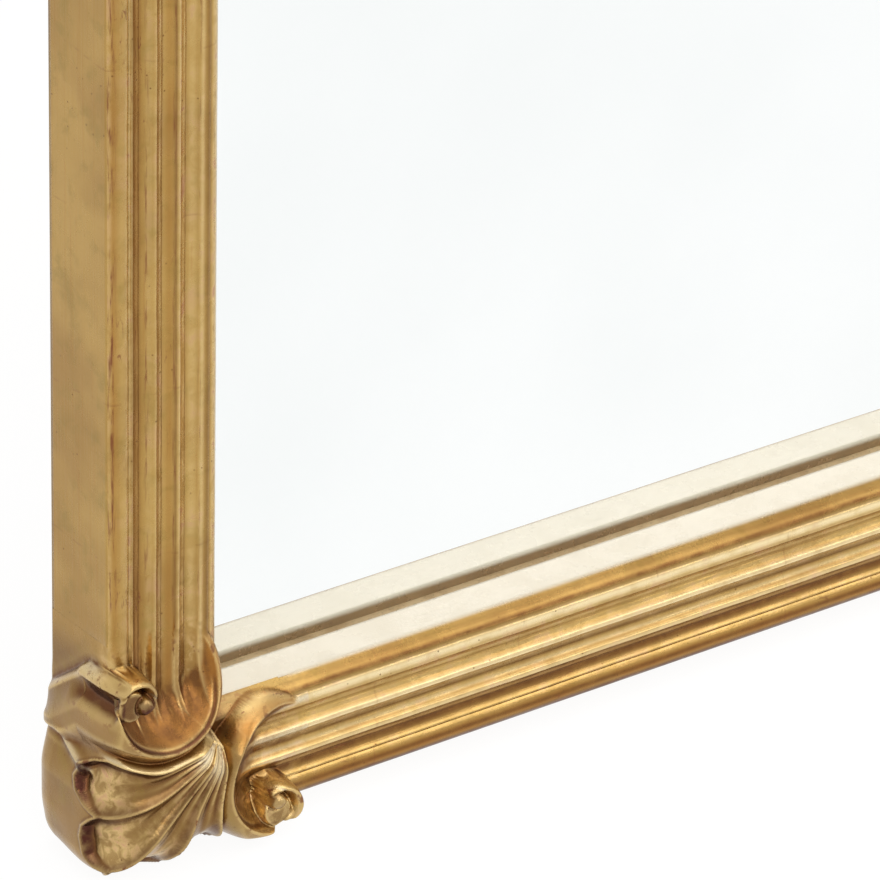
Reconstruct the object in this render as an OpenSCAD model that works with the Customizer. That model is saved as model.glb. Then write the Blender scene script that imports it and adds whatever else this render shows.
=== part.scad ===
// Pier mirror: a tall wall mirror in a gilt, reeded and mitred frame with a carved shell on each corner.
// X runs along the width, Y to the wall and Z up. The origin is the middle of the wall behind the mirror,
// in the plane of the wall bumpers' back faces.

/* [Frame] */
// Outer width of the mitred frame, without its ornaments
frame_w = 700; // [500:10:1100]
// Outer height of the mitred frame, without its ornaments
frame_h = 1680; // [1200:10:2100]
// Width of the moulding's face
face_w = 60; // [60:0.5:64]
// Depth of the moulding from its front plane to its back
frame_d = 47; // [46:0.5:56]
// Depth of the rebate's lip behind the front plane
lip_d = 28.3; // [25:0.1:28.5]
// Width of the rebate behind the sight edge
rebate_w = 14; // [12:1:15]

/* [Moulding] */
// Width of the outer bead
bead_w = 11.2; // [10.8:0.1:11.2]
// Radius of the outer bead
bead_r = 7.6; // [7:0.1:9]
// How far the bead stands in front of the front plane
bead_rise = 0.2; // [0:0.1:0.6]
// Width of a flute
flute_w = 10; // [8:0.5:10]
// Depth of a flute
flute_d = 2.3; // [1.5:0.1:3]
// Distance between the middles of two flutes
flute_pitch = 12.4; // [12.2:0.1:12.4]
// Distance from the outer edge to the middle of the first flute
first_flute = 16.6; // [16.4:0.1:16.6]
// Width of the rounded sight edge
sight_w = 10.5; // [9:0.5:10.5]
// Drop of the rounded sight edge
sight_drop = 8.3; // [7:0.1:9]

/* [Corner ornament] */
// Height of the shell above the front plane
shell_h = 18.6; // [14:0.2:20]
// Height of the scroll's rim above the front plane
scroll_h = 17.4; // [14:0.2:19]
// Height of the volute's eye above the front plane
eye_h = 9.6; // [7:0.2:12]
// Depth of the shell's flutes at their outer ends
lobe_d = 3.1; // [1:0.1:4]
// How far the shell stands proud of the frame's sides
shell_proud = 10; // [8:0.5:11]
// How far the scroll stands proud of the frame's sides
scroll_proud = 6; // [4:0.5:7]
// How far the ledge beside the volute stands proud of the scroll
ledge_h = 2.4; // [0:0.2:3]
// How much lower the wrap's upper end is at the back than at the front
wrap_slant = 17; // [0:1:20]
// Length of the ornament's seat along each member
seat_len = 106; // [105:0.5:107]
// Depth of the ornament's seat in the moulding
seat_d = 10; // [9.5:0.5:11]

/* [Glazing] */
// Thickness of the slips between the lip and the mirror plate
slip_t = 6.5; // [3:0.1:7]
// Width of those slips
slip_w = 8; // [6:0.5:9]
// Thickness of the mirror plate
glass_t = 4; // [3:1:6]
// Thickness of the buffer sheet
buffer_t = 2.4; // [1:0.1:4]
// Gap round the mirror plate, buffer sheet and board in the rebate
glazing_gap = 1.5; // [1:0.5:3]

/* [Back hardware] */
// Length of a turn button
button_len = 36; // [30:1:40]
// Width of a turn button
button_w = 12; // [10:1:14]
// Thickness of a turn button
button_t = 2; // [1.5:0.5:3]
// Distance from a turn button's screw to the rebate
button_back = 9; // [8:0.5:12]
// Distance from the top and bottom of the frame to the outer turn buttons on its sides
button_in = 390; // [370:10:480]
// Radius of the button screws' heads
head_r = 4; // [3.5:0.1:4.5]
// Thickness of the button screws' heads
head_t = 1.8; // [1.4:0.1:2.2]
// Radius of all the wood screws' shanks
screw_r = 1.8; // [1.5:0.1:2]
// Length of the wood screws in the wood
screw_len = 14; // [10:1:16]
// Radius of the countersunk heads
sunk_r = 3.6; // [3.2:0.1:4]
// Width of a hanger plate
hanger_w = 22; // [20:1:26]
// Length of a hanger plate
hanger_len = 64; // [60:1:72]
// Thickness of a hanger plate
hanger_t = 2; // [1.5:0.5:2]
// Radius of a hanger ring's wire
wire_r = 2; // [1.8:0.1:2]
// Radius of a hanger ring to the middle of its wire
ring_r = 15; // [14:0.5:16]
// Width of the eye that holds the ring
eye_w = 5; // [4:0.5:6]
// Wall of that eye outside the wire
eye_wall = 1.2; // [1:0.1:1.2]
// Distance from the top of the frame to the hanger rings' pivots
hanger_drop = 280; // [240:10:320]
// Length of each arm of a corner plate
plate_len = 76; // [70:1:84]
// Width of each arm of a corner plate
plate_w = 16; // [14:1:18]
// Thickness of a corner plate
plate_t = 2; // [1.5:0.5:2.5]
// Distance from the frame's outer edge to a corner plate
plate_in = 14; // [12:1:16]
// Radius of a wall bumper
bumper_r = 9; // [7:0.5:11]
// Thickness of a wall bumper, which keeps the hardware off the wall
bumper_t = 9; // [8.5:0.5:12]
// Distance from the top and bottom of the frame to the middles of the wall bumpers
bumper_in = 140; // [120:10:190]
// Length of the spline across each mitre
spline_len = 34; // [28:1:36]
// Thickness of the splines
spline_t = 4; // [3:0.5:5]
// Depth of the splines from front to back
spline_d = 14; // [12:1:15]

/* [Clearances] */
// Gap between a turn button and what it turns over
turn_gap = 0.1; // [0.05:0.05:0.3]
// Radial clearance of a running fit
running_gap = 0.08; // [0.05:0.01:0.1]
// Radial gap of a hanger ring's wire in its eye
eye_gap = 0.6; // [0.5:0.05:0.7]
// Gap between a hanger ring and the plate it lies over
ring_gap = 0.3; // [0.3:0.1:0.6]

/* [Hidden] */
$fn = 48;
eps = 0.01;

gold = "#C39A55";
silver = "#E4EAEA";
pine = "#C9A877";
card = "#B79A72";
ply = "#A9835A";
zinc = "#B9BBB8";
brass = "#B08D4A";
felt = "#5A4A3C";

// ---- planes and edges that several pieces share
half_w = frame_w / 2;
half_h = frame_h / 2;
back_y = -bumper_t;
front_y = back_y - frame_d;
rebate_a = face_w - rebate_w;
slip_y = front_y + lip_d;
glass_y = slip_y + slip_t;
buffer_y = glass_y + glass_t;
board_y = buffer_y + buffer_t;
board_t = back_y - board_y;
glazed_w = frame_w - 2 * (rebate_a + glazing_gap);
glazed_h = frame_h - 2 * (rebate_a + glazing_gap);
spline_y = slip_y - spline_d - 1;
button_a = rebate_a - button_back;
ring_y = back_y + hanger_t + ring_gap + wire_r;

// ---- where the screws go: [x, z] of each one, and which member it is driven into
function side_of(p) = let(d = [p[0] + half_w, half_w - p[0], p[1] + half_h, half_h - p[1]])
    d[0] == min(d) ? 0 : d[1] == min(d) ? 1 : d[2] == min(d) ? 2 : 3;
button_zs = [half_h - button_in, 0, button_in - half_h];
button_at = concat(
    [for (z = button_zs) [button_a - half_w, z, 0]],
    [for (z = button_zs) [half_w - button_a, z, 180]],
    [[0, half_h - button_a, -90], [0, button_a - half_h, 90]]);
plate_steps = [plate_len * 0.45, plate_len * 0.87];
plate_mid = plate_in + plate_w / 2;
plate_screw_at = [for (sx = [-1, 1], sz = [-1, 1], s = plate_steps, turn = [0, 1])
    [sx * (half_w - (turn == 0 ? plate_mid : plate_in + s)),
     sz * (half_h - (turn == 0 ? plate_in + s : plate_mid))]];
hanger_a = rebate_a / 2;
hanger_z = half_h - hanger_drop;
hanger_screw_at = [for (sx = [-1, 1], dx = [-1, 1], dz = [-1, 1])
    [sx * (half_w - hanger_a) + dx * 5.5, hanger_z + dz * (hanger_len / 2 - 7)]];
bumper_at = [for (sx = [-1, 1], sz = [-1, 1]) [sx * (half_w - hanger_a), sz * (half_h - bumper_in)]];

// ---- moulding: a is the distance from the outer edge, heights are forward of the front plane
flute_r = (pow(flute_w / 2, 2) + pow(flute_d, 2)) / (2 * flute_d);
sight_r = (pow(sight_w, 2) + pow(sight_drop, 2)) / (2 * sight_drop);
flutes = [for (i = [0:2]) first_flute + i * flute_pitch];

function crown(a, centre, r, top) = top - r + sqrt(max(0, r * r - pow(a - centre, 2)));
function flute_floor(a, centre) = abs(a - centre) >= flute_w / 2 ? 0
    : -flute_d + flute_r - sqrt(pow(flute_r, 2) - pow(a - centre, 2));
function moulding_height(a) = a < bead_w ? crown(a, bead_w / 2, bead_r, bead_rise)
    : a > face_w - sight_w ? crown(a, face_w - sight_w, sight_r, 0)
    : min([for (c = flutes) flute_floor(a, c)]);

module moulding_profile() {
    difference() {
        union() {
            translate([bead_w, front_y]) square([face_w - bead_w, frame_d]);
            translate([0, front_y + bead_r]) square([bead_w + eps, frame_d - bead_r]);
            intersection() {
                translate([0, front_y - 1]) square([bead_w + eps, bead_r + 1 + eps]);
                translate([bead_w / 2, front_y + bead_r - bead_rise]) circle(bead_r);
            }
        }
        for (c = flutes) translate([c, front_y + flute_d - flute_r]) circle(flute_r);
        difference() {
            translate([face_w - sight_w, front_y - 1]) square([sight_w + 1, sight_r + 1]);
            translate([face_w - sight_w, front_y + sight_r]) circle(sight_r);
        }
        translate([rebate_a, slip_y]) square([face_w, frame_d]);
    }
}

// A member runs up z from 0 with its outer edge on x = 0, mitred at both ends and cut down for the ornaments
module member(length) {
    difference() {
        linear_extrude(length) moulding_profile();
        for (end = [0, 1]) translate([0, 0, end * length]) mirror([0, 0, end]) {
            rotate([0, -45, 0]) translate([-face_w, front_y - 5, -2 * face_w])
                cube([3 * face_w, frame_d + 10, 2 * face_w]);
            translate([-1, front_y - 5, -1]) cube([face_w + 2, 5 + seat_d, seat_len + 1]);
            spline_slot();
        }
    }
}

// The slot and its spline lie square across the mitre, in the thick of the moulding
module spline_slot() {
    translate([rebate_a / 2 + 4, spline_y + spline_d / 2, rebate_a / 2 + 4]) rotate([0, -45, 0])
        cube([spline_t, spline_d, spline_len], center = true);
}

module screw_hole(p) {
    translate([p[0], back_y + 1, p[1]]) rotate([90, 0, 0]) cylinder(h = screw_len + 1, r = screw_r);
}

module holes_in(side) {
    for (p = concat(button_at, plate_screw_at, hanger_screw_at)) if (side_of(p) == side) screw_hole(p);
}

module stile(side) {
    color(gold) difference() {
        translate([-half_w, 0, -half_h]) member(frame_h);
        mirror([side, 0, 0]) holes_in(side);
    }
}

module rail(side) {
    color(gold) difference() {
        translate([-half_w, 0, -half_h]) mirror([1, 0, -1]) member(frame_w);
        mirror([0, 0, side]) holes_in(2 + side);
    }
}

module left_stile() { stile(0); }
module right_stile() { mirror([1, 0, 0]) stile(1); }
module bottom_rail() { rail(0); }
module top_rail() { mirror([0, 0, 1]) rail(1); }

// ---- corner ornament: u and v are distances from the outer corner along the two members, drawn for a
// 60 mm face; one half is worked out for v over u and the other is its mirror image about the mitre
plan_k = face_w / 60;
function clamp(x) = max(0, min(1, x));
function smooth(x, a, b) = let(t = clamp((x - a) / (b - a))) t * t * (3 - 2 * t);
function mix(a, b, t) = a + (b - a) * t;
function blend(a, b, k) = k < 0.001 ? max(a, b)
    : let(h = clamp(0.5 + 0.5 * (a - b) / k)) b + (a - b) * h + k * h * (1 - h);
function pick(list, t) = let(x = clamp(t) * (len(list) - 1), i = min(floor(x), len(list) - 2))
    mix(list[i], list[i + 1], x - i);

scroll_c = [24, 84];
scroll_r = 29.3;
scroll_from = 38;
scroll_sweep = 230;
scroll_hs = [0, 0.13, 0.26, 0.42, 0.6, 0.78, 0.92, 0.98, 1, 0.98, 0.94, 0.88, 0.8, 0.73, 0.7, 0.7];
scroll_in = [2.5, 5, 10, 15, 18, 21, 24, 25, 24, 19, 12, 7, 4.5, 3.5, 3, 3];
scroll_out = [2.5, 3.5, 4.5, 5.5, 6.5, 7, 7, 7, 8, 8, 7, 6, 5.2, 4.8, 4.5, 4.5];
volute_c = [5.3, 84.4];
volute_r = 10.2;
volute_hs = [12.2, 11.4, 10.4, 9.4, 8.4, 7.4, 6.4];
eye_c = [11.4, 82];
eye_r = 4.2;

// Distance inside an arc's line, and how far along the arc the nearest point is
function arc_at(u, v, c, r, from, sweep) = let(
    q = ((from - atan2(v - c[1], u - c[0])) % 360 + 360) % 360,
    end = q < (sweep + 360) / 2 ? 1 : 0,
    e = c + r * [cos(from - end * sweep), sin(from - end * sweep)],
    rho = norm([u, v] - c),
    de = norm([u, v] - e))
    q > sweep ? [rho < r ? de : -de, end] : [r - rho, q / sweep];

function sight_fall(u) = u > 49.5 ? crown(u, 49.5, sight_r, 0) : 0;

function scroll_height(u, v) = let(
    base = mix(min(-0.6, sight_fall(u)), moulding_height(max(0, min(face_w, u * plan_k))), smooth(v, 76, 92)),
    s = arc_at(u, v, scroll_c, scroll_r, scroll_from, scroll_sweep),
    ti = clamp(s[0] / pick(scroll_in, s[1])),
    to = clamp(-s[0] / pick(scroll_out, s[1])),
    rim = s[0] >= 0 ? pow(1 - ti, 2) : 0.75 * sqrt(1 - to * to) + 0.25 * (1 - to),
    body = base + (scroll_h * pick(scroll_hs, s[1]) - base) * rim,
    b = arc_at(u, v, volute_c, volute_r, 150, 178),
    tb = clamp(abs(b[0]) / (b[0] > 0 ? 2.5 : 3)),
    kb = sqrt(1 - tb * tb),
    band = base + (pick(volute_hs, b[1]) - base) * kb,
    te = clamp(norm([u, v] - eye_c) / eye_r),
    ke = sqrt(1 - te * te),
    eye = base + (eye_h - base) * ke)
    blend(blend(body, band, 0.8 * kb), eye, 0.5 * ke);

focus = 53;
lobe_edges = [14, 36];
function shell_height(u, v) = let(
    r = norm([u - focus, v - focus]),
    turn = abs(45 - atan2(focus - v, focus - u)) / (1 + 0.28 * smooth(r, 30, 62)),
    lam = turn < lobe_edges[0] ? turn / lobe_edges[0]
        : 1 + (turn - lobe_edges[0]) / (lobe_edges[1] - lobe_edges[0]),
    dome = mix(8, shell_h, smooth(r, -2, 17)),
    depth = 0.5 + (lobe_d - 0.5) * smooth(r, 8, 55),
    f = lam - floor(lam),
    past = max(0, turn - lobe_edges[1]) * PI / 180 * r,
    h = lam > 2 ? dome - 1.7 * pow(past, 1.35) : dome - depth * (1 - pow(abs(2 * f - 1), 2.6)))
    mix(-9, max(-9, h), smooth(2 * focus - u - v, -4, 8));

function height_at(u, v) = v > 95 ? scroll_height(u, v) : blend(scroll_height(u, v), shell_height(u, v), 1.2);

// Outline of the ornament: each row runs from the sight edge to a point on the outline
function proud_at(v) = max(0.4, min(
    mix(shell_proud, scroll_proud, smooth(v, 42, 58)),
    sqrt(max(0, pow(scroll_proud + 6.3, 2) - pow(max(0, v - 84.4), 2))) - 5.3));
corner_r = 11;
corner_e = corner_r - shell_proud;
row_turns = [0, 15, 30];
row_shares = [1.5, 6.5, 12, 16.5, 20.5, 24, 28.5, 34, 40, 45.5, 50, 54, 58.5, 63, 67.5, 72, 76, 80, 83.5, 86.5,
    89, 91, 93.5, 96.5, 100.5, 106];
row_vs = [for (v = row_shares) v / 106 * seat_len / plan_k];
half_rows = concat(
    [for (t = row_turns) [corner_e - corner_r * cos(45 - t), corner_e - corner_r * sin(45 - t)]],
    [for (v = row_vs) [-proud_at(v), v]]);
first_v = half_rows[0][1];
function sight_v(v) = v + (60 - first_v) * pow(1 - clamp((v - first_v) / (84 - first_v)), 1.3);

front_as = [60, 57.5, 54.5, 51.5, 48, 45.2, 41.4, 37.6, 34.8, 31.6, 29, 26.4, 23.2, 20.4, 16.6, 12.8, 11.2, 8.6,
    5.6, 3];
shoulder_w = -15;
// The wrap's upper end slants down towards the back
function flank(e, w) = e[1] < 50 ? e[0]
    : -proud_at(e[1] + wrap_slant * clamp((shoulder_w - w) / (frame_d + shoulder_w)));
// How far the wrap draws in towards its back edge, which is rounded at the corner
function draw_in(e, w) = let(
    x = -flank(e, w),
    part = w < -45 ? 1 : 0.42 * clamp((shoulder_w - 12 - w) / 8),
    k = clamp((12 - e[1]) / 18.8))
    part * [(x < 6 ? 0.78 * x : 4.7 + 0.68 * (x - 6)) + k, 6.2 * pow(k, 1.3)];
function roll_r(v) = mix(mix(34, 5, smooth(v, 40, 66)), 0.2, smooth(v, 93, 97));
rolls = [0.9, 0.72, 0.45, 0];
cheeks = [-25, -36];

function row_points(e) = let(
    s = [60, sight_v(e[1])],
    length = norm(e - s),
    rr = min(roll_r(e[1]), 0.6 * length),
    shoulder = rr * (1 - pow(1 - pow(0.95, 3), 1 / 3)),
    out = (e - s) / length,
    ledge = ledge_h * exp(-pow((e[1] - 90.5) / 3.2, 2)))
    concat(
        [for (a = front_as) let(
            d = (1 - a / 60) * min(length, (length - shoulder) / 0.95),
            p = s + out * d,
            z = pow(1 - pow(1 - min(1, (length - d) / rr), 3), 1 / 3))
            [p[0], p[1], shoulder_w + (height_at(p[0], p[1]) - shoulder_w) * z]],
        [for (z = rolls) let(d = rr * (1 - pow(1 - pow(z, 3), 1 / 3)),
            p = e - out * d + [-ledge * (1 - z), 0])
            [p[0], p[1], shoulder_w + (height_at((e - out * d)[0], p[1]) - shoulder_w) * z]],
        [for (w = cheeks) let(d = draw_in(e, w))
            [flank(e, w) + d[0] - ledge * smooth(w, -40, -15), e[1] + d[1], w]],
        [let(d = draw_in(e, -frame_d)) [min(-0.3, flank(e, -frame_d) + d[0]), e[1] + d[1], -frame_d]]);

// Each row's underside: sight edge at the seat, outer plane at the seat, outer plane at the back
function row_under(e) = let(s = [60, sight_v(e[1])],
    v0 = e[1] + (s[1] - e[1]) * max(0, -e[0]) / (60 - e[0]))
    [[60, s[1], -seat_d], [0, v0, -seat_d], [0, v0, -frame_d]];

rows = len(half_rows);
n_top = len(front_as) + len(rolls) + len(cheeks) + 1;
n_row = n_top + 3;
cap_as = [54.5, 41.4, 29, 16.6, 5.6];
n_cap = len(cap_as);
n_all = 2 * rows - 1;
function flip(p) = [p[1], p[0], p[2]];
function placed(p) = [p[0] * plan_k, front_y - p[2], p[1] * plan_k];
half_points = [for (e = half_rows) concat(row_points(e), row_under(e))];
end_v = row_vs[len(row_vs) - 1];
cap_points = [for (a = cap_as) [a, end_v, -seat_d]];
all_points = [for (i = [0:n_all - 1], j = [0:n_row - 1]) let(k = i - rows + 1, p = half_points[abs(k)][j])
    placed(k < 0 ? flip(p) : p)];
ornament_points = concat(all_points, [for (p = cap_points) placed(flip(p))], [for (p = cap_points) placed(p)]);

function at(i, j) = i * n_row + j;
top_faces = [for (i = [0:n_all - 2], j = [0:n_top - 2], k = [0, 1]) k == 0
    ? [at(i, j), at(i, j + 1), at(i + 1, j + 1)] : [at(i, j), at(i + 1, j + 1), at(i + 1, j)]];
function quad(i, a, b) = [at(i, a), at(i, b), at(i + 1, b), at(i + 1, a)];
wall_faces = [for (i = [0:n_all - 2], s = [0:3]) let(
    a = [n_top - 1, n_top + 2, n_top + 1, n_top][s],
    b = [n_top + 2, n_top + 1, n_top, 0][s])
    (s == 2 && (i == 0 || i == n_all - 2)) ? under_end(i) : quad(i, a, b)];
function cap_at(end, m) = n_all * n_row + end * n_cap + m;
function under_end(i) = i == 0
    ? concat([at(1, n_top), at(1, n_top + 1), at(0, n_top + 1)],
        [for (m = [n_cap - 1:-1:0]) cap_at(0, m)], [at(0, n_top)])
    : concat([at(i, n_top + 1), at(i, n_top), at(i + 1, n_top)],
        [for (m = [0:n_cap - 1]) cap_at(1, m)], [at(i + 1, n_top + 1)]);
// The end cap is a row of fans: one from each underside point, over the top points beside it
cap_limits = [0, 4, 8, 12, 16, len(front_as)];
function fan(i, hub, from, to) = [for (j = [from:to - 1]) [hub, at(i, j), at(i, j + 1)]];
function cap_fans(i, end) = concat(
    [[at(i, n_top), at(i, 0), cap_at(end, 0)]],
    [for (m = [0:n_cap - 1]) each fan(i, cap_at(end, m), cap_limits[m], cap_limits[m + 1])],
    [for (m = [0:n_cap - 2]) [cap_at(end, m), at(i, cap_limits[m + 1]), cap_at(end, m + 1)]],
    [[cap_at(end, n_cap - 1), at(i, cap_limits[n_cap]), at(i, n_top + 1)]],
    fan(i, at(i, n_top + 1), cap_limits[n_cap], n_top - 1),
    [[at(i, n_top + 1), at(i, n_top - 1), at(i, n_top + 2)]]);
function turned(faces) = [for (f = faces) [for (k = [len(f) - 1:-1:0]) f[k]]];
ornament_faces = concat(top_faces, wall_faces, turned(cap_fans(0, 0)), cap_fans(n_all - 1, 1));

module ornament() {
    color(gold) translate([-half_w, 0, -half_h]) polyhedron(points = ornament_points, faces = ornament_faces);
}

module ornament_bottom_left() { ornament(); }
module ornament_bottom_right() { mirror([1, 0, 0]) ornament(); }
module ornament_top_left() { mirror([0, 0, 1]) ornament(); }
module ornament_top_right() { mirror([0, 0, 1]) mirror([1, 0, 0]) ornament(); }

module mitre_splines() {
    color(pine) for (sx = [0, 1], sz = [0, 1]) mirror([sx, 0, 0]) mirror([0, 0, sz])
        translate([-half_w, 0, -half_h]) spline_slot();
}

// ---- glazing, from the lip to the back
module sheet(width, height, y, thickness) {
    translate([-width / 2, y, -height / 2]) cube([width, thickness, height]);
}

module left_slip() {
    color(gold) translate([rebate_a - half_w, slip_y, rebate_a - half_h])
        cube([slip_w, slip_t, frame_h - 2 * rebate_a]);
}
module right_slip() { mirror([1, 0, 0]) left_slip(); }
module bottom_slip() {
    color(gold) translate([rebate_a + slip_w - half_w, slip_y, rebate_a - half_h])
        cube([frame_w - 2 * (rebate_a + slip_w), slip_t, slip_w]);
}
module top_slip() { mirror([0, 0, 1]) bottom_slip(); }
module mirror_glass() { color(silver) sheet(glazed_w, glazed_h, glass_y, glass_t); }
module buffer_sheet() { color(card) sheet(glazed_w, glazed_h, buffer_y, buffer_t); }
module backing_board() { color(ply) sheet(glazed_w, glazed_h, board_y, board_t); }

// ---- turn buttons: a rounded strip that points over the board and turns about its screw
module button(i) {
    p = button_at[i];
    color(brass) translate([p[0], back_y + turn_gap, p[1]]) rotate([0, -p[2], 0]) difference() {
        union() {
            translate([0, 0, -button_w / 2]) cube([button_len - button_w, button_t, button_w]);
            for (x = [0, button_len - button_w]) translate([x, button_t, 0]) rotate([90, 0, 0])
                cylinder(h = button_t, d = button_w);
        }
        translate([0, button_t + 1, 0]) rotate([90, 0, 0]) cylinder(h = button_t + 2, r = screw_r + running_gap);
    }
}
module button_left_top() { button(0); }
module button_left_middle() { button(1); }
module button_left_bottom() { button(2); }
module button_right_top() { button(3); }
module button_right_middle() { button(4); }
module button_right_bottom() { button(5); }
module button_top() { button(6); }
module button_bottom() { button(7); }

module button_screws() {
    head_y = button_t + 2 * turn_gap;
    color(zinc) for (p = button_at) translate([p[0], back_y, p[1]]) difference() {
        union() {
            translate([0, head_y, 0]) rotate([90, 0, 0]) cylinder(h = screw_len + head_y, r = screw_r);
            translate([0, head_y + head_t, 0]) rotate([90, 0, 0]) cylinder(h = head_t, r = head_r);
        }
        translate([-head_r - 1, head_y + head_t - 0.8, -0.5]) cube([2 * head_r + 2, 2, 1]);
    }
}

// ---- countersunk screws, flush with the face at y = top
module sunk_screw(top) {
    translate([0, top, 0]) rotate([90, 0, 0]) difference() {
        union() {
            cylinder(h = sunk_r - screw_r, r1 = sunk_r, r2 = screw_r);
            cylinder(h = screw_len + top, r = screw_r);
        }
        translate([-sunk_r - 1, -0.5, -1]) cube([2 * sunk_r + 2, 1, 1.6]);
    }
}

module sunk_hole(top) {
    translate([0, top, 0]) rotate([90, 0, 0]) {
        cylinder(h = sunk_r - screw_r, r1 = sunk_r, r2 = screw_r);
        translate([0, 0, -1]) cylinder(h = 1 + top + 1, r = screw_r);
    }
}

// ---- hangers: a plate with an eye, and a ring that hangs in it
module hanger_plate(side) {
    x = side * (half_w - hanger_a);
    color(brass) translate([0, back_y, 0]) difference() {
        union() {
            translate([x, 0, hanger_z]) rotate([-90, 0, 0]) linear_extrude(hanger_t) {
                square([hanger_w, hanger_len - hanger_w], center = true);
                for (s = [-1, 1]) translate([0, s * (hanger_len - hanger_w) / 2]) circle(d = hanger_w);
            }
            translate([x - eye_w / 2, ring_y - back_y, hanger_z]) rotate([0, 90, 0])
                cylinder(h = eye_w, r = wire_r + eye_gap + eye_wall);
            translate([x - eye_w / 2, hanger_t / 2, hanger_z - wire_r - eye_gap - eye_wall])
                cube([eye_w, ring_y - back_y - hanger_t / 2, 2 * (wire_r + eye_gap + eye_wall)]);
        }
        translate([x - eye_w, ring_y - back_y, hanger_z]) rotate([0, 90, 0])
            cylinder(h = 2 * eye_w, r = wire_r + eye_gap);
        for (p = hanger_screw_at) if (p[0] * side > 0) translate([p[0], 0, p[1]]) sunk_hole(hanger_t);
    }
}
module hanger_plate_left() { hanger_plate(-1); }
module hanger_plate_right() { hanger_plate(1); }

module hanger_ring(side) {
    color(brass) translate([side * (half_w - hanger_a), ring_y, hanger_z - ring_r]) rotate([90, 0, 0])
        rotate_extrude() translate([ring_r, 0]) circle(wire_r);
}
module hanger_ring_left() { hanger_ring(-1); }
module hanger_ring_right() { hanger_ring(1); }
module hanger_screws() {
    color(zinc) for (p = hanger_screw_at) translate([p[0], back_y, p[1]]) sunk_screw(hanger_t);
}

// ---- corner plates across the mitres
module corner_plates() {
    color(zinc) for (sx = [0, 1], sz = [0, 1]) mirror([sx, 0, 0]) mirror([0, 0, sz]) difference() {
        translate([plate_in - half_w, back_y, plate_in - half_h]) union() {
            cube([plate_len, plate_t, plate_w]);
            cube([plate_w, plate_t, plate_len]);
        }
        for (s = plate_steps, turn = [0, 1])
            translate([(turn == 0 ? plate_mid : plate_in + s) - half_w, back_y,
                (turn == 0 ? plate_in + s : plate_mid) - half_h]) sunk_hole(plate_t);
    }
}
module plate_screws() {
    color(zinc) for (p = plate_screw_at) translate([p[0], back_y, p[1]]) sunk_screw(plate_t);
}

module wall_bumpers() {
    color(felt) for (p = bumper_at) translate([p[0], 0, p[1]]) rotate([90, 0, 0])
        cylinder(h = bumper_t, r = bumper_r);
}

left_stile();
right_stile();
bottom_rail();
top_rail();
ornament_bottom_left();
ornament_bottom_right();
ornament_top_left();
ornament_top_right();
mitre_splines();
mirror_glass();
left_slip();
right_slip();
bottom_slip();
top_slip();
buffer_sheet();
backing_board();
button_left_top();
button_left_middle();
button_left_bottom();
button_right_top();
button_right_middle();
button_right_bottom();
button_top();
button_bottom();
button_screws();
hanger_plate_left();
hanger_plate_right();
hanger_ring_left();
hanger_ring_right();
hanger_screws();
corner_plates();
plate_screws();
wall_bumpers();
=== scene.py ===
import bpy
import numpy as np
from mathutils import Matrix


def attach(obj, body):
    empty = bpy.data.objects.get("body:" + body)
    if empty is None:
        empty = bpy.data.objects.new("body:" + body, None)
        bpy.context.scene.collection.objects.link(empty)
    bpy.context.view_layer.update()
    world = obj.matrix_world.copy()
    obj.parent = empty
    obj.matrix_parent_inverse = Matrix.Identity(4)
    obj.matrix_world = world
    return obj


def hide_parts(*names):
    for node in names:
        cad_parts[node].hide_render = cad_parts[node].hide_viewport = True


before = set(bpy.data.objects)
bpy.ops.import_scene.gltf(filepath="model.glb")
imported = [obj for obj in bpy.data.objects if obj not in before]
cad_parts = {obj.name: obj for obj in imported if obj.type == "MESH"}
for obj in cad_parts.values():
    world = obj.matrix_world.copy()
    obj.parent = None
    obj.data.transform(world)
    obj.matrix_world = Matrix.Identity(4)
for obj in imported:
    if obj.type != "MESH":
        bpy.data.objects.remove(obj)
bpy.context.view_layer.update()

# ---- sizes in mm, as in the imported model
HALF_W, HALF_H = 350.0, 840.0
FACE, DEEP = 60.0, 47.0
BACK_Y = -9.0
FRONT_Y = BACK_Y - DEEP
LIP, REBATE = 28.3, 46.0
END = 107.0         # how far the carving reaches along a member, from the outer corner
SEAT = -12.0        # under the carving the moulding is cut down to this height
FLOOR_DROP = 10.9   # the floor lies this far below the frame, so that it clears the carving


def smooth(x, a, b):
    """0 up to a, 1 from b on, and an even passage between them"""
    t = np.clip((x - a) / (b - a), 0, 1)
    return t * t * (3 - 2 * t)


def lerp(a, b, t):
    return a + (b - a) * t


def smax(a, b, k):
    """The higher of two heights, rounded over k where they meet"""
    k = np.maximum(k, 1e-6)
    h = np.clip(0.5 + 0.5 * (a - b) / k, 0, 1)
    return b + (a - b) * h + k * h * (1 - h)


def bell(x, wide):
    """1 in the middle, falling to almost nothing at twice the width"""
    return np.exp(-(x / wide) ** 2)


def arc_height(x, r):
    """Height of a circle of radius r over its middle, at a distance x beside it"""
    return np.sqrt(np.clip(r ** 2 - x ** 2, 0, None))


# ---- moulding: height forward of the front plane at a distance a from the outer edge
BEAD_MID, BEAD_R, BEAD_TOP, BEAD_END = 5.6, 7.63, 0.2, 11.2
FLUTES, FLUTE_HALF, FLUTE_R, FLUTE_DEEP = (16.6, 29.0, 41.4), 5.0, 6.58, 2.3
FILLETS, FILLET_HALF, FILLET_HIGH = (22.8, 35.2, 47.6), 1.9, 0.4
SIGHT, SIGHT_R = 49.5, 10.79
# the thin grooves beside the bead and in the flutes: place, depth and width of each
GROOVES = ((11.3, 0.8, 0.5), (16.8, 0.35, 0.8), (28.7, 0.3, 0.8), (40.9, 0.3, 0.8), (52.3, 0.35, 0.6))


def bead(a):
    return BEAD_TOP - BEAD_R + arc_height(a - BEAD_MID, BEAD_R)


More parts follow.
